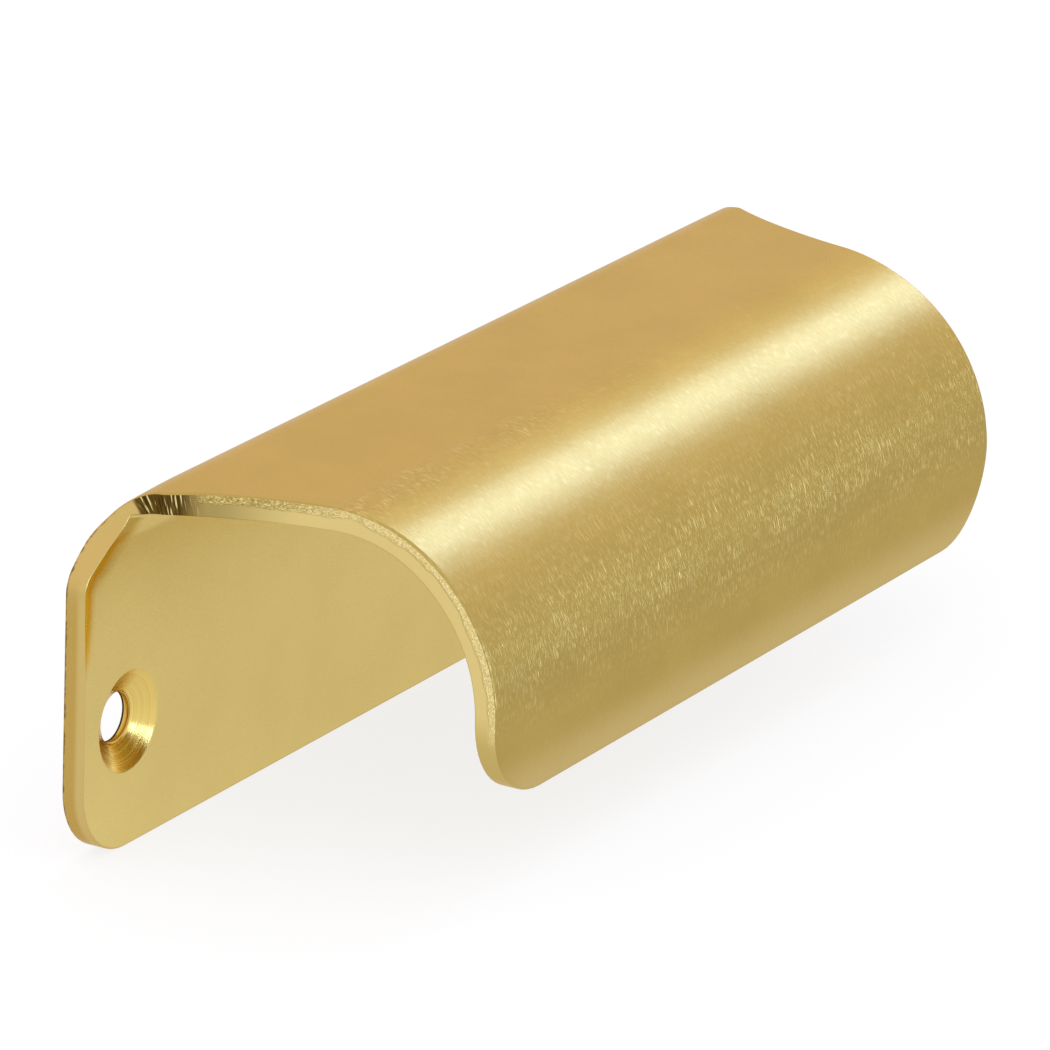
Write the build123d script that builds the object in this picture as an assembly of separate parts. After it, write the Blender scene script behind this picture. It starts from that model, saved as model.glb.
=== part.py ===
from build123d import *
import os
from math import radians, sin

# Cabinet edge handle folded and curled from one brass sheet, in millimetres.
# The origin is midway between the two screw holes on the wall face; the wall is at +Y, up is +Z.

# Sheet and its section
sheet = 2.0                   # sheet thickness
fold_inner_radius = 2.0       # inside of the square fold between the plate and the top
curl_radius = 15.4            # outside of the round curl between the top and the lip
height = 30.0                 # bottom edge of the plate to the flat top
projection = 32.0             # wall face to the front of the lip
lip_depth = 22.6              # flat top to the bottom edge of the lip

# Screw holes, countersunk from the front
hole_spacing = 96.0
hole_height = 10.6            # bottom edge of the plate to the hole centres
hole_diameter = 4.3
countersink_diameter = 8.6
countersink_angle = 120.0

# Back plate
end_margin = 6.5              # hole centres to the plate's ends
plate_corner_radius = 6.3
shoulder_depth = 6.1          # flat top to where the plate's ends start to slope in
shoulder_radius = 2.0
shoulder_run = 7.6            # how far each end slopes in by the time it is round the fold

# Hood: the top, curl and lip
sweep_run = 5.3               # how far each end of the top sweeps in towards the curl
sweep_depth = 23.6            # wall face to where the swept ends turn straight
lip_corner_radius = 7.4

# Places worked out from the sizes above
fold_outer_radius = fold_inner_radius + sheet
fold_middle_radius = fold_inner_radius + sheet / 2
bottom = -hole_height
top = bottom + height
fold_start = top - fold_outer_radius
lip_bottom = top - lip_depth
shoulder = top - shoulder_depth
plate_half = hole_spacing / 2 + end_margin
fold_half = plate_half - shoulder_run
hood_half = fold_half - sweep_run
beyond = 2 * plate_half       # well outside the sheet, for cuts that pass right through it

# Each end slopes in evenly with height from the shoulder, round the fold, to the end of the top
slope_rise = fold_start - shoulder + fold_middle_radius
slope = shoulder_run / slope_rise


def half_length(fold_angle):
    """Half the sheet's length at an angle, in degrees, round the fold from the plate."""
    rise = fold_start - shoulder + fold_middle_radius * sin(radians(fold_angle))
    return plate_half - slope * rise


def make_strip():
    """The folded and curled sheet at the plate's full length, before its ends are trimmed."""
    path = [(0, bottom), (0, top), (-projection, top), (-projection, lip_bottom)]
    with BuildSketch(Plane.YZ) as section:
        with BuildLine():
            FilletPolyline(*path, radius=[fold_outer_radius, curl_radius])
            offset(amount=sheet, side=Side.LEFT)
        make_face()
    return extrude(section.sketch, amount=plate_half, both=True)


def make_shoulder_trim():
    """Cuts the slope of the plate's right end, from the shoulder up to the start of the fold."""
    slope_top = (half_length(0), fold_start)
    corners = [(plate_half, shoulder), (beyond, shoulder), (beyond, fold_start), slope_top]
    return extrude(Plane.XZ * make_face(Polyline(*corners, close=True)), amount=sheet)


def make_fold_trim():
    """Cuts the right end of the fold square to the sheet, carrying on the slope of the shoulder."""
    inner = fold_inner_radius / 2
    outer = fold_outer_radius + fold_inner_radius
    sections = []
    fold_centre = (0, -fold_outer_radius, fold_start)
    along = Vector(1, 0, 0)
    for angle in (0, 30, 60, 90):
        radial = Vector(0, 1, 0).rotate(Axis.X, angle)
        across = Plane(fold_centre, x_dir=along, z_dir=along.cross(radial))
        end = half_length(angle)
        corners = [(end, inner), (beyond, inner), (beyond, outer), (end, outer)]
        sections.append(across * make_face(Polyline(*corners, close=True)))
    return loft(sections)


def make_hood_trim():
    """Cuts the right end of the top, curl and lip to its swept outline in plan."""
    back = -fold_outer_radius
    front = -2 * projection
    with BuildSketch(Plane.XY.offset(bottom)) as outline:
        with BuildLine():
            sweep = TangentArc((hood_half, -sweep_depth), (fold_half, back), tangent=(0, 1))
            Polyline(sweep @ 1, (beyond, back), (beyond, front), (hood_half, front), sweep @ 0)
        make_face()
    return extrude(outline.sketch, amount=2 * height)


def make_lip_trim():
    """Cuts the round lower right corner of the lip."""
    middle = (hood_half - lip_corner_radius, lip_bottom + lip_corner_radius)
    with BuildSketch(Plane.XZ.offset(projection - curl_radius)) as outline:
        with Locations(middle):
            Rectangle(beyond, beyond, align=(Align.MIN, Align.MAX))
            Circle(lip_corner_radius, mode=Mode.SUBTRACT)
    return extrude(outline.sketch, amount=projection)


def make_screw_hole():
    """The right screw hole with its countersink in the plate's front face."""
    front_face = Plane.XZ.offset(sheet)
    hole = CounterSinkHole(hole_diameter / 2, countersink_diameter / 2, 2 * sheet, countersink_angle)
    return front_face * Pos(hole_spacing / 2, 0) * hole


def plate_corners(solid):
    """The edges through the sheet at the plate's upright ends, grouped from the lowest to the highest."""
    ends = solid.faces().filter_by(Axis.X).sort_by(Axis.X)
    return (ends[0].edges() + ends[-1].edges()).filter_by(Axis.Y).group_by(Axis.Z)


handle = make_strip()
for cut in (make_shoulder_trim(), make_fold_trim(), make_hood_trim(), make_lip_trim(), make_screw_hole()):
    handle -= cut
    handle -= mirror(cut, about=Plane.YZ)
handle = fillet(plate_corners(handle)[0], plate_corner_radius)
handle = fillet(plate_corners(handle)[-1], shoulder_radius)

os.makedirs("parts", exist_ok=True)
export_step(handle, "parts/handle.step")
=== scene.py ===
from math import atan, cos, pi, radians, sin, sqrt, tan

import bmesh
import bpy
import numpy as np
from mathutils import Matrix, Vector


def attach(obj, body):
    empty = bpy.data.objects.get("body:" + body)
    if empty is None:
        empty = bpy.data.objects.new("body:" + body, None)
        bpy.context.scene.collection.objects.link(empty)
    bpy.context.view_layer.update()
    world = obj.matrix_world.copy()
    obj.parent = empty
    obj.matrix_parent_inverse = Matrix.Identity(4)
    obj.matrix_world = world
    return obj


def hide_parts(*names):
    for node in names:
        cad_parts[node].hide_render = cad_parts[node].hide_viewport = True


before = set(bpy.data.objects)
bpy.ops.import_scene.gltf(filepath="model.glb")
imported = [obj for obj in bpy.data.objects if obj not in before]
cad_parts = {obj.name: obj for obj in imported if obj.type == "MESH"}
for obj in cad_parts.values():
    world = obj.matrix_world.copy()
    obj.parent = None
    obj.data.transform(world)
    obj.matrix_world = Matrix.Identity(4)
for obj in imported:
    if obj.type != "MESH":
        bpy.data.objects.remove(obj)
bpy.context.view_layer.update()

# Driving sizes in millimetres, as in the solid
MM = 0.001                    # in metres
SHEET = 2.0
FOLD_INNER_R = 2.0
CURL_R = 15.4
HEIGHT = 30.0
PROJECTION = 32.0
LIP_DEPTH = 22.6
HOLE_X = 48.0
HOLE_HEIGHT = 10.6
HOLE_R = 2.15
SINK_R = 4.3
SINK_ANGLE = 120.0
END_MARGIN = 6.5
CORNER_R = 6.3
SHOULDER_DEPTH = 6.1
SHOULDER_R = 2.0
SHOULDER_RUN = 7.6
SWEEP_RUN = 5.3
SWEEP_DEPTH = 23.6
LIP_R = 7.4

# Places worked out from them
BOTTOM = -HOLE_HEIGHT
TOP = BOTTOM + HEIGHT
LIP_BOTTOM = TOP - LIP_DEPTH
SHOULDER = TOP - SHOULDER_DEPTH
FOLD_R = FOLD_INNER_R + SHEET
FOLD_MID_R = FOLD_R - SHEET / 2
CURL_MID_R = CURL_R - SHEET / 2
TOP_RUN = PROJECTION - FOLD_R - CURL_R
PLATE_HALF = HOLE_X + END_MARGIN
FOLD_HALF = PLATE_HALF - SHOULDER_RUN
HOOD_HALF = FOLD_HALF - SWEEP_RUN
SWEEP_R = (SWEEP_RUN ** 2 + (SWEEP_DEPTH - FOLD_R) ** 2) / (2 * SWEEP_RUN)
SINK_SLOPE = tan(radians(SINK_ANGLE / 2))

# The sheet is drawn flat: x along its length, s round the section from the plate's bottom edge, measured
# in the middle of the sheet, and d deep under the outer face
S_HOLE = HOLE_HEIGHT
S_SHOULDER = SHOULDER - BOTTOM
S_FOLD = TOP - FOLD_R - BOTTOM
S_TOP = S_FOLD + FOLD_MID_R * pi / 2
S_CURL = S_TOP + TOP_RUN
S_LIP = S_CURL + CURL_MID_R * pi / 2
S_END = S_LIP + TOP - CURL_R - LIP_BOTTOM
SLOPE = SHOULDER_RUN / (S_FOLD - S_SHOULDER + FOLD_MID_R)


def carry_round(x, s, d):
    """Points of the flat sheet carried round the section."""
    fold = np.clip((s - S_FOLD) / FOLD_MID_R, 0, pi / 2)
    curl = np.clip((s - S_CURL) / CURL_MID_R, 0, pi / 2)
    up = np.minimum(s, S_FOLD) + BOTTOM
    out = np.clip(s - S_TOP, 0, TOP_RUN)
    down = np.clip(s - S_LIP, 0, None)
    y = -FOLD_R + (FOLD_R - d) * np.cos(fold) - out
    z = up + (FOLD_R - d) * np.sin(fold)
    y = np.where(s > S_CURL, -FOLD_R - TOP_RUN - (CURL_R - d) * np.sin(curl), y)
    z = np.where(s > S_CURL, TOP - CURL_R + (CURL_R - d) * np.cos(curl) - down, z)
    return np.stack([x + 0 * s, y + 0 * x, z + 0 * x], -1)


def half_length(s):
    """Half the flat sheet's length at a place round the section."""
    turn = atan(SLOPE)
    bend = SHOULDER_R * tan(turn / 2)
    start = S_SHOULDER - bend
    if s < CORNER_R:
        return PLATE_HALF - CORNER_R + sqrt(max(CORNER_R ** 2 - (CORNER_R - s) ** 2, 0))
    if s < start:
        return PLATE_HALF
    if s < S_SHOULDER + bend * cos(turn):
        return PLATE_HALF - SHOULDER_R + sqrt(SHOULDER_R ** 2 - (s - start) ** 2)
    if s < S_TOP:
        rise = min(s, S_FOLD) - S_SHOULDER + FOLD_MID_R * sin(max(s - S_FOLD, 0) / FOLD_MID_R)
        return PLATE_HALF - SLOPE * rise
    if s < S_CURL:
        y = FOLD_R + s - S_TOP
    else:
        y = FOLD_R + TOP_RUN + CURL_MID_R * sin(min((s - S_CURL) / CURL_MID_R, pi / 2))
    left = max(SWEEP_DEPTH - y, 0)
    x = HOOD_HALF + SWEEP_R - sqrt(SWEEP_R ** 2 - left ** 2)
    low = s - (S_END - LIP_R)
    if low > 0:
        x -= LIP_R - sqrt(max(LIP_R ** 2 - low ** 2, 0))
    return x


def end_normal(s):
    """Outward direction, along the length and round the section, of the sheet's right end."""
    if s < CORNER_R:
        along = 1 - s / CORNER_R
        return sqrt(max(1 - along ** 2, 0)), -along
    if s > S_END - LIP_R:
        along = 1 - (S_END - s) / LIP_R
        return sqrt(max(1 - along ** 2, 0)), along
    nearby = 0.01
    fall = (half_length(s - nearby) - half_length(s + nearby)) / (2 * nearby)
    size = sqrt(1 + fall ** 2)
    return 1 / size, fall / size


def steps(start, stop, count):
    """Even steps from the start up to, and without, the stop."""
    return list(np.linspace(start, stop, count, endpoint=False))


# Rows of the sheet's mesh, round the section: where each stretch starts and stops, and its number of rows.
# A square of cells is left out round each hole.
CELLS = 12
PATCH = 4.9                   # half the square's side
ROW_GAP = 0.1                 # least gap between the rows of the plate's corners and the square
SHOULDER_ROWS = S_SHOULDER - 1.5
TOP_ROWS = S_TOP + 3.0
STRETCHES = (
    (S_HOLE - PATCH, S_HOLE + PATCH, CELLS),
    (S_HOLE + PATCH, SHOULDER_ROWS, 9),
    (SHOULDER_ROWS, S_FOLD, 12),
    (S_FOLD, S_TOP, 20),
    (S_TOP, TOP_ROWS, 12),
    (TOP_ROWS, S_CURL, 14),
    (S_CURL, S_END - LIP_R, 48),
)
PLATE_CORNER_STEPS = 14
LIP_CORNER_STEPS = 15
corner_rows = [CORNER_R * (1 - cos(a)) for a in steps(0, pi / 2, PLATE_CORNER_STEPS)]
rows = [s for s in corner_rows if s < S_HOLE - PATCH - ROW_GAP]
for stretch in STRETCHES:
    rows += steps(*stretch)
rows += [S_END - LIP_R * (1 - sin(a)) for a in np.linspace(0, pi / 2, LIP_CORNER_STEPS)]
rows = np.array(rows)
first_hole_row = int(np.argmin(abs(rows - (S_HOLE - PATCH))))

# Columns along the length, as shares of the half length, closer together near the ends
MIDDLE_COLS = 44
END_GAPS = (1.3, 1.0, 0.7, 0.45, 0.25, 0.1, 0.0)
half = steps(0, HOLE_X - PATCH, MIDDLE_COLS) + steps(HOLE_X - PATCH, HOLE_X + PATCH, CELLS)
half += [PLATE_HALF - gap for gap in END_GAPS]
half = np.array(half) / PLATE_HALF
cols = np.concatenate([-half[:0:-1], half])
right_hole_col = int(np.argmin(abs(cols - (HOLE_X - PATCH) / PLATE_HALF)))
left_hole_col = int(np.argmin(abs(cols + (HOLE_X + PATCH) / PLATE_HALF)))


def swell(amount, middle, run):
    """A smooth rise to an amount and fall back to 0, at each row."""
    return amount * np.clip(1 - ((rows - middle) / run) ** 2, 0, None) ** 2


# Marks of shearing, folding and finishing at the sheet's ends. The edges are rounded, the fold's ends lean
# out and are squeezed thin inside, the top's ends droop and the plate's inner face dips beside its ends.
# A mark in brackets is an amount, the middle of its place round the section and its run to either side.
LEAST_OUTER_ROUND = 0.15
LEAST_INNER_ROUND = 0.14
FOLD_WEAR = (0.1, S_TOP + 2.5, 4.0)
CURL_WEAR = (0.12, S_CURL + 9.0, 14.0)
LIP_WEAR = (0.25, S_END - 2.0, 6.0)
EAR_WEAR = (0.06, S_FOLD - 2.0, 6.0)
LEAN = (0.46, S_FOLD - 0.3, 2.0)
DROOP = (0.18, S_TOP - 0.6, 3.6)
DROOP_REACH = 5.0
DROOP_AT_RIGHT = 0.2
DIP = (0.2, S_SHOULDER - 1.6, 8.5)
DIP_REACH = 1.5
PINCH_SHARE = 0.95            # share of the way from the fold's round inside to a square corner
PINCH_REACH = 4.0
edge_x = np.array([half_length(s) for s in rows])
edge_n = np.array([end_normal(s) for s in rows])
fold_turn = np.clip((rows - S_FOLD) / FOLD_MID_R, 0, pi / 2)
outer_round = LEAST_OUTER_ROUND + swell(*FOLD_WEAR) + swell(*CURL_WEAR) + swell(*LIP_WEAR)
inner_round = LEAST_INNER_ROUND + swell(*EAR_WEAR)
lean = swell(*LEAN)
droop = swell(*DROOP)
dip = swell(*DIP)
to_square_corner = 1 / np.maximum(np.cos(fold_turn), np.sin(fold_turn)) - 1
pinch = PINCH_SHARE * FOLD_INNER_R * to_square_corner

# Materials by number
BRUSHED, SHEARED, TURNED = range(3)

verts = []
blank = []
faces = []
marks = []


def add_points(x, s, d):
    """Adds sheet points and gives their numbers in the same arrangement."""
    x, s, d = np.broadcast_arrays(np.asarray(x, float), np.asarray(s, float), np.asarray(d, float))
    start = sum(len(v) for v in verts)
    verts.append(carry_round(x, s, d).reshape(-1, 3))
    blank.append(np.stack([x, s, d], -1).reshape(-1, 3))
    return start + np.arange(x.size).reshape(x.shape)


def add_band(a, b, mark):
    """Joins two closed runs of point numbers with quads."""
    a = np.append(a, a[0])
    b = np.append(b, b[0])
    for i in range(len(a) - 1):
        faces.append((a[i], a[i + 1], b[i + 1], b[i]))
        marks.append(mark)


def add_face(inset, depth, presses):
    """A face of the sheet, inset at the ends and pressed in near them, less the holes' squares."""
    x_end = edge_x - inset * edge_n[:, 0]
    s_row = rows - inset * edge_n[:, 1]
    x = cols[None, :] * x_end[:, None]
    s = np.repeat(s_row[:, None], len(cols), 1)
    gap = (x_end[:, None] - abs(x)) * edge_n[:, :1]
    d = depth + 0 * gap
    for press, reach, at_right in presses:
        near = np.clip(1 - gap / reach, 0, None) ** 2
        d = d + press[:, None] * near * np.where(x > 0, at_right, 1.0)
    grid = add_points(x, s, d)
    for i in range(len(rows) - 1):
        for j in range(len(cols) - 1):
            in_rows = first_hole_row <= i < first_hole_row + CELLS
            in_cols = any(c <= j < c + CELLS for c in (right_hole_col, left_hole_col))
            if not (in_rows and in_cols):
                faces.append((grid[i, j], grid[i, j + 1], grid[i + 1, j + 1], grid[i + 1, j]))
                marks.append(BRUSHED)
    return grid


outer_grid = add_face(outer_round - lean, 0.0, [(droop, DROOP_REACH, DROOP_AT_RIGHT)])
inner_grid = add_face(inner_round, SHEET, [(-dip, DIP_REACH, 1.0), (-pinch, PINCH_REACH, 1.0)])

# The sheared edge all round the sheet, from the outer face to the inner one
ROUND_STEPS = 6
CUT_SHARES = (0.25, 0.5, 0.75)
BRUSHED_BANDS = 4             # bands of the outer rounding that are brushed over, past the fold
last = len(rows) - 1
edge_cells = [(0, j) for j in range(len(cols) - 1)]
edge_cells += [(i, len(cols) - 1) for i in range(last)]
edge_cells += [(last, j) for j in range(len(cols) - 1, 0, -1)]
edge_cells += [(i, 0) for i in range(last, 0, -1)]
base = []
for i, j in edge_cells:
    side = 1 if cols[j] > 0 else -1
    if i in (0, last):
        base.append((cols[j] * edge_x[i], rows[i], 0.0, -1.0 if i == 0 else 1.0))
    else:
        base.append((side * edge_x[i], rows[i], side * edge_n[i, 0], edge_n[i, 1]))
base_x, base_s, out_x, out_s = np.array(base).T
edge_row = np.array([i for i, j in edge_cells])
r_out = outer_round[edge_row]
r_in = inner_round[edge_row]
at_end = abs(out_x) > 0
outer_depth = np.where(at_end, droop[edge_row], 0) * np.where(base_x > 0, DROOP_AT_RIGHT, 1.0)
inner_depth = SHEET - np.where(at_end, (dip + pinch)[edge_row], 0)
outward = np.where(at_end, lean[edge_row], 0)
cut_start = outer_depth + r_out
cut_end = inner_depth - r_in
quarter = np.linspace(0, pi / 2, ROUND_STEPS)
edge_profile = [(-r_out * (1 - sin(a)), outer_depth + r_out * (1 - cos(a))) for a in quarter[1:]]
edge_profile += [(0 * r_out, cut_start + share * (cut_end - cut_start)) for share in CUT_SHARES]
edge_profile += [(-r_in * (1 - cos(a)), inner_depth - r_in * (1 - sin(a))) for a in quarter[:-1]]
loops = [np.array([outer_grid[c] for c in edge_cells])]
for shift, depth in edge_profile:
    shift = shift + outward * (inner_depth - depth) / (inner_depth - outer_depth)
    loops.append(add_points(base_x + shift * out_x, base_s + shift * out_s, depth))
loops.append(np.array([inner_grid[c] for c in edge_cells]))
for band, (a, b) in enumerate(zip(loops, loops[1:])):
    start = len(marks)
    add_band(a, b, SHEARED)
    if band < BRUSHED_BANDS:
        marks[start:] = [BRUSHED if rows[i] > S_FOLD else SHEARED for i in edge_row]

# The screw holes: countersunk from the inner face, straight on to the outer one
RIM_ROUND = 0.08              # how far the rounding of the countersink's rim reaches past it
CONE_STOP = 0.08              # how far from the hole's wall the cone starts to turn into it
WALL_TURN = ((0.02, 0.05), (0.0, 0.12))  # gap to the wall and drop below the cone, as it turns
BURR = 0.08                   # how far the burr at the wall side reaches into the hole
BURR_START = 0.17             # depth at which the wall turns into the burr
BURR_CREST = 0.14             # depth from which the burr has its full reach
BURR_ROUND = 0.08
RIM_STEPS = 5
CONE_STEPS = 12
BURR_STEPS = 4
EASE_IN = (0.3, 0.6, 0.85)    # shares of the way from the hole's square to its round rim
EASE_OUT = (0.7, 0.4)


def hole_profile():
    """Radius and depth of each ring from the countersink's rim to the outer face, with its material."""
    cone_lean = atan(1 / SINK_SLOPE)
    rim_r = SINK_R + RIM_ROUND
    reach = RIM_ROUND / tan(cone_lean / 2)
    rings = [(rim_r, SHEET, BRUSHED)]
    for a in np.linspace(0, cone_lean, RIM_STEPS)[1:]:
        rings.append((rim_r - reach * sin(a), SHEET - reach * (1 - cos(a)), BRUSHED))
    cone_top, cone_high, _ = rings[-1]
    for r in np.linspace(cone_top, HOLE_R + CONE_STOP, CONE_STEPS)[1:]:
        rings.append((r, cone_high - (cone_top - r) / SINK_SLOPE, TURNED))
    cone_low = rings[-1][1]
    rings += [(HOLE_R + gap, cone_low - drop, TURNED) for gap, drop in WALL_TURN]
    rings += [(HOLE_R, BURR_START, TURNED), (HOLE_R - BURR, BURR_CREST, TURNED)]
    for a in np.linspace(0, pi / 2, BURR_STEPS):
        rings.append((HOLE_R - BURR + BURR_ROUND * (1 - cos(a)), BURR_ROUND * (1 - sin(a)), TURNED))
    return rings


def square_round(grid, col):
    """The point numbers round a hole's square, in order."""
    a, b = first_hole_row, first_hole_row + CELLS
    c, e = col, col + CELLS
    low = [(a, j) for j in range(c, e)]
    right = [(i, e) for i in range(a, b)]
    high = [(b, j) for j in range(e, c, -1)]
    left = [(i, c) for i in range(b, a, -1)]
    return np.array([grid[p] for p in low + right + high + left])


def add_hole(col, middle):
    """A hole, from its square in the inner face to its square in the outer one."""
    square_in = square_round(inner_grid, col)
    square_out = square_round(outer_grid, col)
    flat = np.concatenate(blank)
    angle = np.arctan2(flat[square_in, 1] - S_HOLE, flat[square_in, 0] - middle)
    profile = hole_profile()

    def ring_at(radius):
        return middle + radius * np.cos(angle), S_HOLE + radius * np.sin(angle)

    def add_eased(square, radius, share, depth):
        x, s = ring_at(radius)
        corner_x, corner_s, _ = flat[square].T
        return add_points(corner_x + share * (x - corner_x), corner_s + share * (s - corner_s), depth)

    rings = [(square_in, BRUSHED)]
    for share in EASE_IN:
        rings.append((add_eased(square_in, profile[0][0], share, SHEET), BRUSHED))
    for radius, depth, mark in profile:
        rings.append((add_points(*ring_at(radius), depth), mark))
    for share in EASE_OUT:
        rings.append((add_eased(square_out, profile[-1][0], share, 0.0), BRUSHED))
    rings.append((square_out, BRUSHED))
    for (a, _), (b, mark) in zip(rings, rings[1:]):
        add_band(a, b, mark)


add_hole(right_hole_col, HOLE_X)
add_hole(left_hole_col, -HOLE_X)

# The sheet as one object, which keeps each point's place on the flat sheet for its materials
NORMAL_WEIGHT = 60
mesh = bpy.data.meshes.new("handle_sheet")
mesh.from_pydata((np.concatenate(verts) * MM).tolist(), [], [tuple(int(i) for i in f) for f in faces])
field = mesh.attributes.new("blank", "FLOAT_VECTOR", "POINT")
field.data.foreach_set("vector", np.concatenate(blank).astype(np.float32).ravel())
mesh.polygons.foreach_set("material_index", np.array(marks, dtype=np.int32))
work = bmesh.new()
work.from_mesh(mesh)
bmesh.ops.recalc_face_normals(work, faces=work.faces)
for face in work.faces:
    face.smooth = True
work.to_mesh(mesh)
work.free()
handle = bpy.data.objects.new("handle_sheet", mesh)
bpy.context.collection.objects.link(handle)
weighted = handle.modifiers.new("weighted normals", "WEIGHTED_NORMAL")
weighted.weight = NORMAL_WEIGHT


# Sockets of a mix node: its share and its two colours, and the colour it gives
MIX_INPUTS = (0, 6, 7)
MIX_OUTPUT = 2


class Nodes:
    """Short ways to lay out the nodes of a material or of the world."""

    def __init__(self, tree):
        self.tree = tree

    def feed(self, socket, value):
        if isinstance(value, bpy.types.NodeSocket):
            self.tree.links.new(value, socket)
        else:
            socket.default_value = value

    def add(self, kind, **sockets):
        node = self.tree.nodes.new(kind)
        for key, value in sockets.items():
            self.feed(node.inputs[key], value)
        return node

    def math(self, operation, *values):
        node = self.tree.nodes.new("ShaderNodeMath")
        node.operation = operation
        for socket, value in zip(node.inputs, values):
            self.feed(socket, value)
        return node.outputs[0]

    def plus(self, a, b):
        return self.math("ADD", a, b)

    def less(self, a, b):
        return self.math("SUBTRACT", a, b)

    def times(self, first, *others):
        for other in others:
            first = self.math("MULTIPLY", first, other)
        return first

    def ramp(self, value, low, high, to_low=0.0, to_high=1.0):
        """Goes smoothly from one value to another while the input goes from low to high."""
        node = self.tree.nodes.new("ShaderNodeMapRange")
        node.interpolation_type = "SMOOTHSTEP"
        for socket, v in zip(node.inputs, (value, low, high, to_low, to_high)):
            self.feed(socket, v)
        return node.outputs[0]

    def fade(self, value, low, high):
        return self.ramp(value, low, high, 1.0, 0.0)

    def mix(self, share, a, b):
        node = self.tree.nodes.new("ShaderNodeMix")
        node.data_type = "RGBA"
        for number, value in zip(MIX_INPUTS, (share, a, b)):
            self.feed(node.inputs[number], value)
        return node.outputs[MIX_OUTPUT]

    def lumps(self, place, scale, detail, roughness):
        kind = "ShaderNodeTexNoise"
        return self.add(kind, Vector=place, Scale=scale, Detail=detail, Roughness=roughness).outputs[0]

    def noise(self, x, y, z, detail=2.0, roughness=0.5):
        place = self.add("ShaderNodeCombineXYZ", X=x, Y=y, Z=z)
        return self.lumps(place.outputs[0], 1.0, detail, roughness)


class Surface(Nodes):
    """A material with one shader."""

    def __init__(self, name):
        self.material = bpy.data.materials.new(name)
        self.material.use_nodes = True
        super().__init__(self.material.node_tree)
        self.sockets = self.tree.nodes["Principled BSDF"].inputs

    def set(self, socket, value):
        self.feed(self.sockets[socket], value)

    def bump(self, height, distance):
        node = self.add("ShaderNodeBump", Height=height, Strength=1.0, Distance=distance)
        self.set("Normal", node.outputs[0])

    def blank(self):
        """Length, way round the section and depth under the outer face, in millimetres."""
        source = self.tree.nodes.new("ShaderNodeAttribute")
        source.attribute_name = "blank"
        parts = self.add("ShaderNodeSeparateXYZ", Vector=source.outputs["Vector"])
        return parts.outputs[0], parts.outputs[1], parts.outputs[2]

    def place(self):
        """The place in the object, in millimetres."""
        node = self.add("ShaderNodeVectorMath", Vector=self.add("ShaderNodeTexCoord").outputs["Object"])
        node.operation = "SCALE"
        self.feed(node.inputs["Scale"], 1 / MM)
        return node.outputs[0]


GLANCING_BRASS = (0.89, 0.79, 0.6, 1)


def brass(name):
    """Bare metal whose glancing reflections stay brass coloured."""
    made = Surface(name)
    made.set("Metallic", 1.0)
    made.set("Specular Tint", GLANCING_BRASS)
    return made


# Brushed faces: tones, and where round the section the brushing shows
SATIN = (0.415, 0.297, 0.083, 1)
SATIN_PALE = (0.445, 0.318, 0.09, 1)
# Painted glints: paler flecks where the highlight falls on the curl
SATIN_GLINT = (0.56, 0.43, 0.15, 1)
# Painted shade: a darker brass over the front of the curl and the lip, which catch less light
FRONT_SHADE = (0.37, 0.268, 0.073, 1)
FLECK = (0.85, 0.71, 0.32, 1)
# Painted reflection: a paler brass towards the lip's bottom edge, for the floor reflected there
LIP_REFLECTION = (0.56, 0.43, 0.18, 1)
# Painted light: the inner faces get a lighter brass than the outer ones, for the brighter light they catch
INSIDE_LIT = (0.69, 0.543, 0.2, 1)
INSIDE_LIT_PALE = (0.715, 0.562, 0.21, 1)
# Painted reflection: a dark orange streak on the inner face, in the dip beside the plate's ends
DIP_REFLECTION = (0.66, 0.365, 0.025, 1)
FRONT_RISE = (S_CURL + 9.0, S_CURL + 17.0)
FRONT_FALL = (S_LIP - 3.0, S_LIP + 2.5)
BEND_RISE = (S_CURL - 0.4, S_CURL + 1.2)
BEND_FALL = (S_CURL + 2.4, S_CURL + 4.4)
BEND_ALONG = (-34.0, 12.0)
GLINT_RISE = (S_CURL + 2.0, S_CURL + 5.0)
LIP_REFLECTION_RISE = (S_END - 4.5, S_END - 0.3)
DIP_REFLECTION_DEPTH = (SHEET - 0.11, SHEET - 0.012)
DIP_REFLECTION_END = (S_FOLD, S_FOLD + 1.5)
MIDDLE_OF_SHEET = (0.9, 1.1)

# How much of the brushing shows: stretches of a noise that count, and shares
MIDDLING = (0.3, 0.7)         # the stretch that most values of a noise lie in
FLECK_CUT = (0.52, 0.72)
SCORE_CUT = (0.64, 0.72)
GATHER_CUT = (0.35, 0.62)
GLINT_CUT = (0.46, 0.68)
WAVE = 0.8                    # how far the brushing wavers, in millimetres
FLECK_SHARE = 0.55
GATHER_LEAST = 0.45
FRONT_LEAST = 0.15
BEND_MOST = 0.8
BEND_LEAST = 0.25
GLINT_MOST = 0.5
FRONT_SHADE_SHARE = 0.75
LIP_REFLECTION_SHARE = 0.8
BRUSHED_ROUGHNESS = (0.27, 0.34)
HAIR_RELIEF = 0.5
FLECK_RELIEF = 0.8
MARKED_RELIEF = 0.85
PLAIN_RELIEF = 0.26
SMOOTH_RELIEF = 0.08
BRUSHED_RELIEF = 0.00005      # in metres, like the relief of the other materials
INNER_SEED = 40.0


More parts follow.
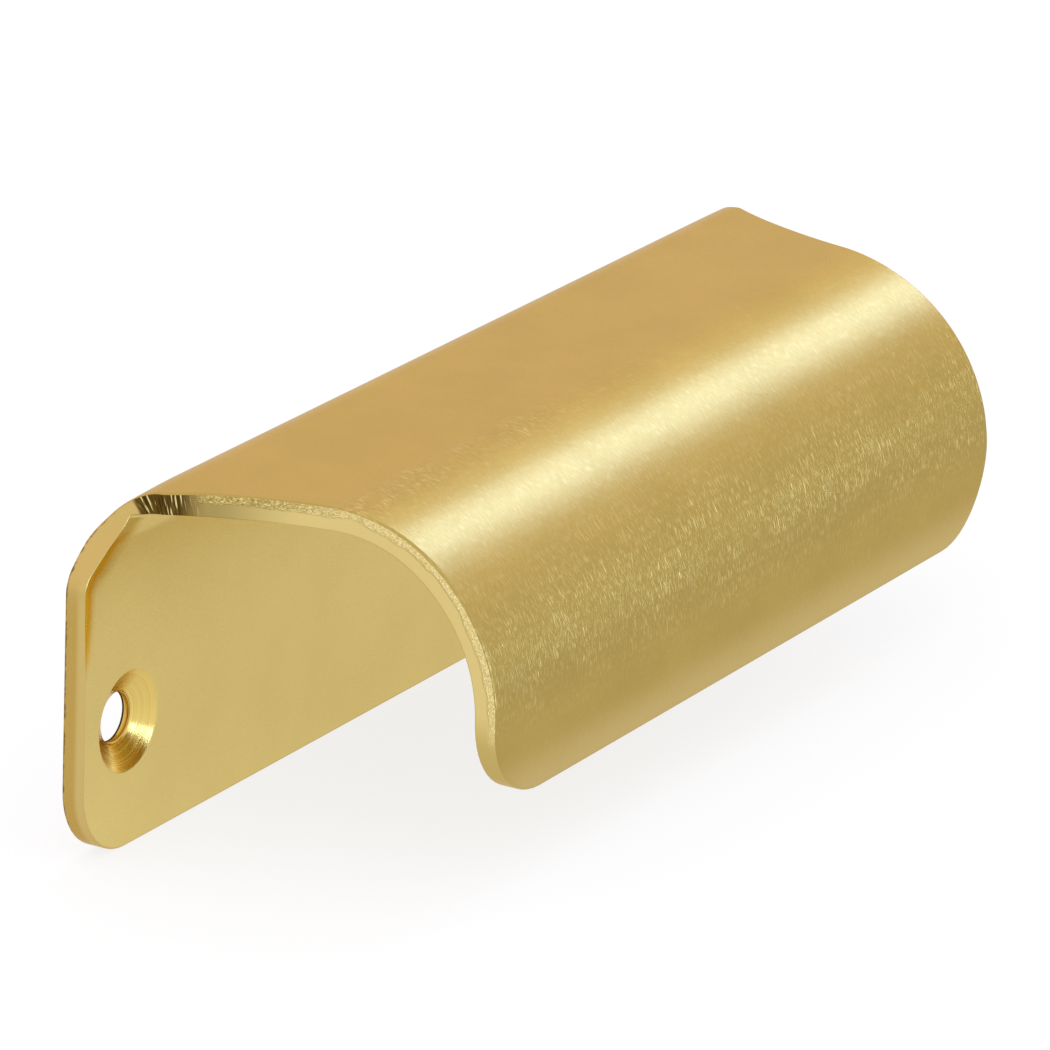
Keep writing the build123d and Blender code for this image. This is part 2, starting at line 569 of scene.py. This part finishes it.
def brushed():
    """The sheet's faces: brushed round the section outside; smooth inside, where painted light makes the
    brass lighter.
    """
    m = brass("brushed_brass")
    x, s, d = m.blank()
    inside = m.ramp(d, *MIDDLE_OF_SHEET)
    outside = m.less(1.0, inside)
    side_seed = m.times(inside, INNER_SEED)

    def pattern(length, along, around, seed=0.0, detail=1.0, roughness=0.5):
        """Noise by its rates per millimetre along the length and round the section."""
        at_seed = m.plus(side_seed, seed)
        return m.noise(m.times(length, along), m.times(s, around), at_seed, detail, roughness)

    wander = pattern(x, along=0.3, around=0.25)
    wavy_x = m.plus(x, m.times(wander, WAVE))
    hair = pattern(wavy_x, along=11.0, around=0.9, detail=3.0, roughness=0.6)
    fleck = pattern(wavy_x, along=11.0, around=1.5, seed=11.0)
    score = pattern(wavy_x, along=9.0, around=0.6, seed=23.0)
    gather = pattern(x, along=0.16, around=0.3, seed=31.0, detail=2.0)
    cloud = pattern(x, along=0.12, around=0.12, detail=3.0)
    grain = pattern(x, along=8.0, around=8.0, detail=2.0, roughness=0.6)

    # Short bright flecks and longer scores, gathered in patches on the front and where the curl starts
    short = m.times(m.ramp(fleck, *FLECK_CUT), FLECK_SHARE)
    flecks = m.math("MAXIMUM", short, m.ramp(score, *SCORE_CUT))
    flecks = m.times(flecks, m.ramp(gather, *GATHER_CUT, GATHER_LEAST, 1.0))
    rise = m.ramp(s, *FRONT_RISE)
    front = m.times(outside, rise, m.ramp(s, *FRONT_FALL, 1.0, FRONT_LEAST))
    bend = m.times(m.ramp(s, *BEND_RISE), m.ramp(s, *BEND_FALL, BEND_MOST, 0.0))
    bend = m.times(bend, m.ramp(x, *BEND_ALONG, 1.0, BEND_LEAST), outside)
    marked = m.plus(bend, front)

    # Colour outside
    tone = m.mix(m.ramp(cloud, *MIDDLING), SATIN, SATIN_PALE)
    # Painted glints in the highlight's band on the curl
    glint = m.times(m.ramp(s, *GLINT_RISE), m.ramp(fleck, *GLINT_CUT, 0.0, GLINT_MOST))
    tone = m.mix(m.times(glint, m.less(1.0, rise)), tone, SATIN_GLINT)
    # Painted shade darkens the front of the curl and the lip
    tone = m.mix(m.times(front, FRONT_SHADE_SHARE), tone, FRONT_SHADE)
    tone = m.mix(m.times(flecks, marked), tone, FLECK)
    # Painted reflection of the floor, paler towards the lip's bottom edge
    lip_reflection = m.times(outside, m.ramp(s, *LIP_REFLECTION_RISE))
    tone = m.mix(m.times(lip_reflection, LIP_REFLECTION_SHARE), tone, LIP_REFLECTION)

    # Colour inside: painted light makes it lighter than outside, with a painted dark orange reflection in
    # the dip beside the plate's ends
    smooth = m.mix(m.ramp(cloud, *MIDDLING), INSIDE_LIT, INSIDE_LIT_PALE)
    dip_reflection = m.times(m.fade(d, *DIP_REFLECTION_DEPTH), m.fade(s, *DIP_REFLECTION_END))
    smooth = m.mix(dip_reflection, smooth, DIP_REFLECTION)
    m.set("Base Color", m.mix(inside, tone, smooth))

    lay = m.plus(m.times(hair, outside), m.times(grain, inside))
    m.set("Roughness", m.ramp(lay, *MIDDLING, *BRUSHED_ROUGHNESS))
    scored = m.plus(m.times(marked, MARKED_RELIEF), m.times(outside, PLAIN_RELIEF))
    height = m.times(m.plus(m.times(hair, HAIR_RELIEF), m.times(fleck, FLECK_RELIEF)), scored)
    height = m.plus(height, m.times(grain, inside, SMOOTH_RELIEF))
    m.bump(height, BRUSHED_RELIEF)
    return m.material


# Sheared edge: tones, and where round the section they change
PLATE_END_WALL = (0.485, 0.315, 0.08, 1)
PLATE_END_FRONT = (0.575, 0.425, 0.15, 1)
EAR_END = (0.54, 0.385, 0.13, 1)
# Painted shadow: a dark wavering line at the wall side of the plate's end
WALL_EDGE_SHADOW = (0.13, 0.075, 0.016, 1)
# Painted shade and light along the hood's end: dark near the top's end, light towards the curl
TOP_END_SHADE = (0.34, 0.255, 0.08, 1)
HOOD_END_LIT = (0.69, 0.545, 0.21, 1)
LIP_CORNER = (0.55, 0.415, 0.14, 1)
TORN_DULL = (0.38, 0.27, 0.07, 1)
TORN_DULL_LIT = (0.72, 0.55, 0.2, 1)
# Painted glints of the torn grain; the curl's tones are lighter as painted light
TORN_GLINT = (0.86, 0.69, 0.28, 1)
TORN_GLINT_CURL = (1.0, 0.9, 0.5, 1)
FOLD_END_DARK = (0.022, 0.011, 0.002, 1)
FOLD_END_DARK_PALE = (0.1, 0.055, 0.008, 1)
SCRATCH = (0.8, 0.66, 0.28, 1)
ON_HOOD = (S_TOP + 0.5, S_TOP + 4.0)
ON_LIP_CORNER = (S_END - LIP_R - 1.0, S_END - LIP_R + 2.8)
ON_EAR = (S_SHOULDER - 3.0, S_SHOULDER + 1.0)
PLATE_END_CHANGE = (0.9, 1.5)
END_SHADE_CHANGE = (S_TOP + 1.5, S_TOP + 11.0)
TOWARD_CURL = (S_TOP + 5.0, S_CURL + 5.0)
DARK_RISE = (S_TOP - 2.0, S_TOP - 1.75)
DARK_FALL = (S_TOP + 1.0, S_TOP + 3.4)

# How far the edge is torn, painted with a wavering shadow line at the wall side, and scratched: depths in
# millimetres, stretches of a noise, and shares
TORN_DEPTH = 0.42
TORN_WAVER = 0.8
TORN_EDGE = 0.12
TORN_ON_PLATE = 0.06
SHADOW_LINE_DEPTH = 0.7
SHADOW_LINE_CUT = (-0.34, -0.1)
GRAIN_CUT = (0.42, 0.64)
DARK_CUT = (0.3, 0.55)
DARK_SHARE = 0.97
SCRATCH_CUT = (0.57, 0.67)
SCRATCH_SEED = 3.0
SHEARED_ROUGHNESS = (0.28, 0.42)
GRAIN_LEAST = 0.1
SCRATCH_RELIEF = 0.8
SHEARED_RELIEF = 0.00012


def sheared():
    """The cut edge: smooth on the inner half, torn with painted glints on the outer half of the hood's
    end.
    """
    m = brass("sheared_brass")
    x, s, d = m.blank()
    place = m.place()
    grain = m.noise(m.times(s, 5.0), m.times(d, 9.0), m.times(x, 3.0), detail=4.0, roughness=0.7)
    waver = m.lumps(place, scale=0.5, detail=2.0, roughness=0.5)
    shadow_waver = m.lumps(place, scale=1.6, detail=3.0, roughness=0.6)
    dragged = m.less(m.times(s, 6.0), d)
    scratch = m.noise(dragged, m.times(d, 0.4), SCRATCH_SEED, detail=2.0, roughness=0.6)
    on_hood = m.ramp(s, *ON_HOOD)
    on_corner = m.ramp(s, *ON_LIP_CORNER)

    # How far the metal is torn: down to a wavering depth, most of all on the hood
    break_at = m.plus(TORN_DEPTH, m.times(waver, TORN_WAVER))
    torn = m.less(1.0, m.ramp(m.less(d, break_at), -TORN_EDGE, TORN_EDGE))
    torn = m.times(torn, m.plus(TORN_ON_PLATE, m.times(on_hood, 1 - TORN_ON_PLATE)))
    torn = m.times(torn, m.less(1.0, on_corner))

    # Colour of the smooth part, on the plate and on the hood; on the hood's end, painted shade near the
    # top gives way to painted light towards the curl
    plate = m.mix(m.ramp(d, *PLATE_END_CHANGE), PLATE_END_WALL, PLATE_END_FRONT)
    plate = m.mix(m.ramp(s, *ON_EAR), plate, EAR_END)
    # Painted shadow line along the wall side of the plate's end
    plate = m.mix(m.ramp(m.less(d, m.times(shadow_waver, SHADOW_LINE_DEPTH)), *SHADOW_LINE_CUT), WALL_EDGE_SHADOW, plate)
    hood = m.mix(m.ramp(s, *END_SHADE_CHANGE), TOP_END_SHADE, HOOD_END_LIT)
    hood = m.mix(on_corner, hood, LIP_CORNER)
    tone = m.mix(on_hood, plate, hood)

    # Colour of the torn part: painted glints on a dull grain, both painted lighter towards the curl
    toward_curl = m.ramp(s, *TOWARD_CURL)
    dull = m.mix(toward_curl, TORN_DULL, TORN_DULL_LIT)
    bright = m.mix(toward_curl, TORN_GLINT, TORN_GLINT_CURL)
    tone = m.mix(torn, tone, m.mix(m.ramp(grain, *GRAIN_CUT), dull, bright))

    # The dark scratched stretch at the end of the fold
    dark_tone = m.mix(m.ramp(scratch, *DARK_CUT), FOLD_END_DARK, FOLD_END_DARK_PALE)
    scratched_dark = m.mix(m.ramp(scratch, *SCRATCH_CUT), dark_tone, SCRATCH)
    dark = m.times(m.ramp(s, *DARK_RISE), m.fade(s, *DARK_FALL))
    m.set("Base Color", m.mix(m.times(dark, DARK_SHARE), tone, scratched_dark))

    m.set("Roughness", m.ramp(torn, 0.0, 1.0, *SHEARED_ROUGHNESS))
    relief = m.times(grain, m.plus(GRAIN_LEAST, torn))
    m.bump(m.plus(relief, m.times(scratch, dark, SCRATCH_RELIEF)), SHEARED_RELIEF)
    return m.material


# Countersinks: tones from the cone to the burr at the wall side, which carries painted shadow, and the
# depths where they change
CONE = (0.68, 0.475, 0.11, 1)
CONE_PALE = (0.8, 0.62, 0.21, 1)
HOLE_WALL = (0.57, 0.365, 0.085, 1)
BURR_SHADOW = (0.03, 0.018, 0.005, 1)
WALL_CHANGE = (0.68, 0.8)
BURR_SHADOW_CHANGE = (0.15, 0.18)
RINGS_PER_MM = 8.0
TURNED_ROUGHNESS = (0.1, 0.17)
TURNED_RELIEF = 0.00004


def turned():
    """The countersinks, with the rings that the cutter left."""
    m = brass("turned_brass")
    d = m.blank()[2]
    place = m.add("ShaderNodeSeparateXYZ", Vector=m.place())
    across = m.less(m.math("ABSOLUTE", place.outputs[0]), HOLE_X)
    radius = m.math("SQRT", m.plus(m.math("POWER", across, 2.0), m.math("POWER", place.outputs[2], 2.0)))
    ring = m.noise(m.times(radius, RINGS_PER_MM), 0.0, 0.0, detail=3.0, roughness=0.65)
    tone = m.mix(m.ramp(ring, *MIDDLING), CONE, CONE_PALE)
    tone = m.mix(m.ramp(d, *WALL_CHANGE), HOLE_WALL, tone)
    # Painted shadow darkens the burr at the wall side
    m.set("Base Color", m.mix(m.ramp(d, *BURR_SHADOW_CHANGE), BURR_SHADOW, tone))
    m.set("Roughness", m.ramp(ring, *MIDDLING, *TURNED_ROUGHNESS))
    m.bump(ring, TURNED_RELIEF)
    return m.material


for material in (brushed(), sheared(), turned()):
    mesh.materials.append(material)
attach(handle, "root")
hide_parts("handle")

# Floor: pale paper just under the handle
SPAN = 8.0
FLOOR_GAP = 0.00005
PAPER = (0.2, 0.2, 0.2, 1)
PAPER_GLOW = 0.79
PAPER_ROUGHNESS = 0.9
level = BOTTOM * MM - FLOOR_GAP
floor_mesh = bpy.data.meshes.new("floor")
corners = [(-SPAN, -SPAN, level), (SPAN, -SPAN, level), (SPAN, SPAN, level), (-SPAN, SPAN, level)]
floor_mesh.from_pydata(corners, [], [(0, 1, 2, 3)])
floor = bpy.data.objects.new("floor", floor_mesh)
bpy.context.collection.objects.link(floor)
paper = Surface("white_paper")
paper.set("Base Color", PAPER)
paper.set("Roughness", PAPER_ROUGHNESS)
paper.set("Specular IOR Level", 0.0)
paper.set("Emission Color", (1, 1, 1, 1))
paper.set("Emission Strength", PAPER_GLOW)
floor_mesh.materials.append(paper.material)

# Room: even and white, a little warmer behind at the right and a little brighter round the key light
ROOM = (1.15, 1.15, 1.15, 1)
WARM = (1.27, 1.14, 1.15, 1)
WARM_SIDE = (0.6, 0.8, 0.2)
WARM_ANGLES = (20, 110)
GLOW = (1.45, 1.4, 1.35, 1)
GLOW_SIDE = (0.82, 0.12, 0.56)
GLOW_ANGLES = (4, 20)
world = bpy.data.worlds.new("studio")
bpy.context.scene.world = world
world.use_nodes = True
room = Nodes(world.node_tree)
look = room.add("ShaderNodeTexCoord").outputs["Generated"]


def near_side(direction, near, far):
    """1 where the look is within the near angle of a direction, and 0 past the far one."""
    dot = room.tree.nodes.new("ShaderNodeVectorMath")
    dot.operation = "DOT_PRODUCT"
    room.feed(dot.inputs[0], look)
    room.feed(dot.inputs[1], Vector(direction).normalized())
    return room.ramp(dot.outputs["Value"], cos(radians(far)), cos(radians(near)))


walls = room.mix(near_side(WARM_SIDE, *WARM_ANGLES), ROOM, WARM)
walls = room.mix(near_side(GLOW_SIDE, *GLOW_ANGLES), walls, GLOW)
background = world.node_tree.nodes["Background"]
room.feed(background.inputs["Color"], walls)
room.feed(background.inputs["Strength"], 1.0)

# Lamps: a soft key from the right and a soft light from the front
LAMP_DISTANCE = 2.0


def softbox(name, direction, width, height, radiance, tint):
    """A soft rectangular lamp that faces the handle."""
    lamp = bpy.data.lights.new(name, "AREA")
    lamp.shape = "RECTANGLE"
    lamp.size = width
    lamp.size_y = height
    lamp.color = tint
    lamp.energy = radiance * pi * width * height
    box = bpy.data.objects.new(name, lamp)
    toward = Vector(direction).normalized()
    facing = toward.to_track_quat("Z", "Y").to_matrix().to_4x4()
    box.matrix_world = Matrix.Translation(toward * LAMP_DISTANCE) @ facing
    box.visible_camera = False
    bpy.context.collection.objects.link(box)


KEY_SIDE = (0.82, -0.06, 0.567)
FRONT_SIDE = (0.1, -0.98, 0.13)
softbox("key", KEY_SIDE, width=0.5, height=0.9, radiance=6.6, tint=(0.21, 0.365, 1.0))
softbox("front", FRONT_SIDE, width=0.55, height=0.7, radiance=9.0, tint=(0.37, 0.57, 1.0))

# Camera at the photo's viewing angle; the offsets put the aim where it is in the photo
YAW = radians(60.275)
PITCH = radians(19.28)
ROLL = radians(2.077)
FOCAL_PX = 8662.975
IMAGE_PX = 1050
OFFSET_RIGHT_PX = 28.304
OFFSET_DOWN_PX = 30.527
SENSOR = 36.0
DISTANCE = 0.721702
AIM = Vector((0, -0.013, 0.0024))
CLIP_START = 0.01
CLIP_END = 100
ahead = Vector((sin(YAW) * cos(PITCH), cos(YAW) * cos(PITCH), -sin(PITCH)))
level_right = Vector((cos(YAW), -sin(YAW), 0))
level_down = ahead.cross(level_right)
right = cos(ROLL) * level_right - sin(ROLL) * level_down
down = sin(ROLL) * level_right + cos(ROLL) * level_down
place = AIM - ahead * DISTANCE
place -= (OFFSET_RIGHT_PX * right + OFFSET_DOWN_PX * down) * (DISTANCE / FOCAL_PX)
lens = bpy.data.cameras.new("camera")
lens.sensor_width = SENSOR
lens.lens = FOCAL_PX / IMAGE_PX * SENSOR
lens.clip_start = CLIP_START
lens.clip_end = CLIP_END
camera = bpy.data.objects.new("camera", lens)
turn = Matrix((right, -down, -ahead)).transposed()
camera.matrix_world = Matrix.Translation(place) @ turn.to_4x4()
bpy.context.collection.objects.link(camera)
bpy.context.scene.camera = camera
bpy.context.scene.view_settings.view_transform = "Standard"
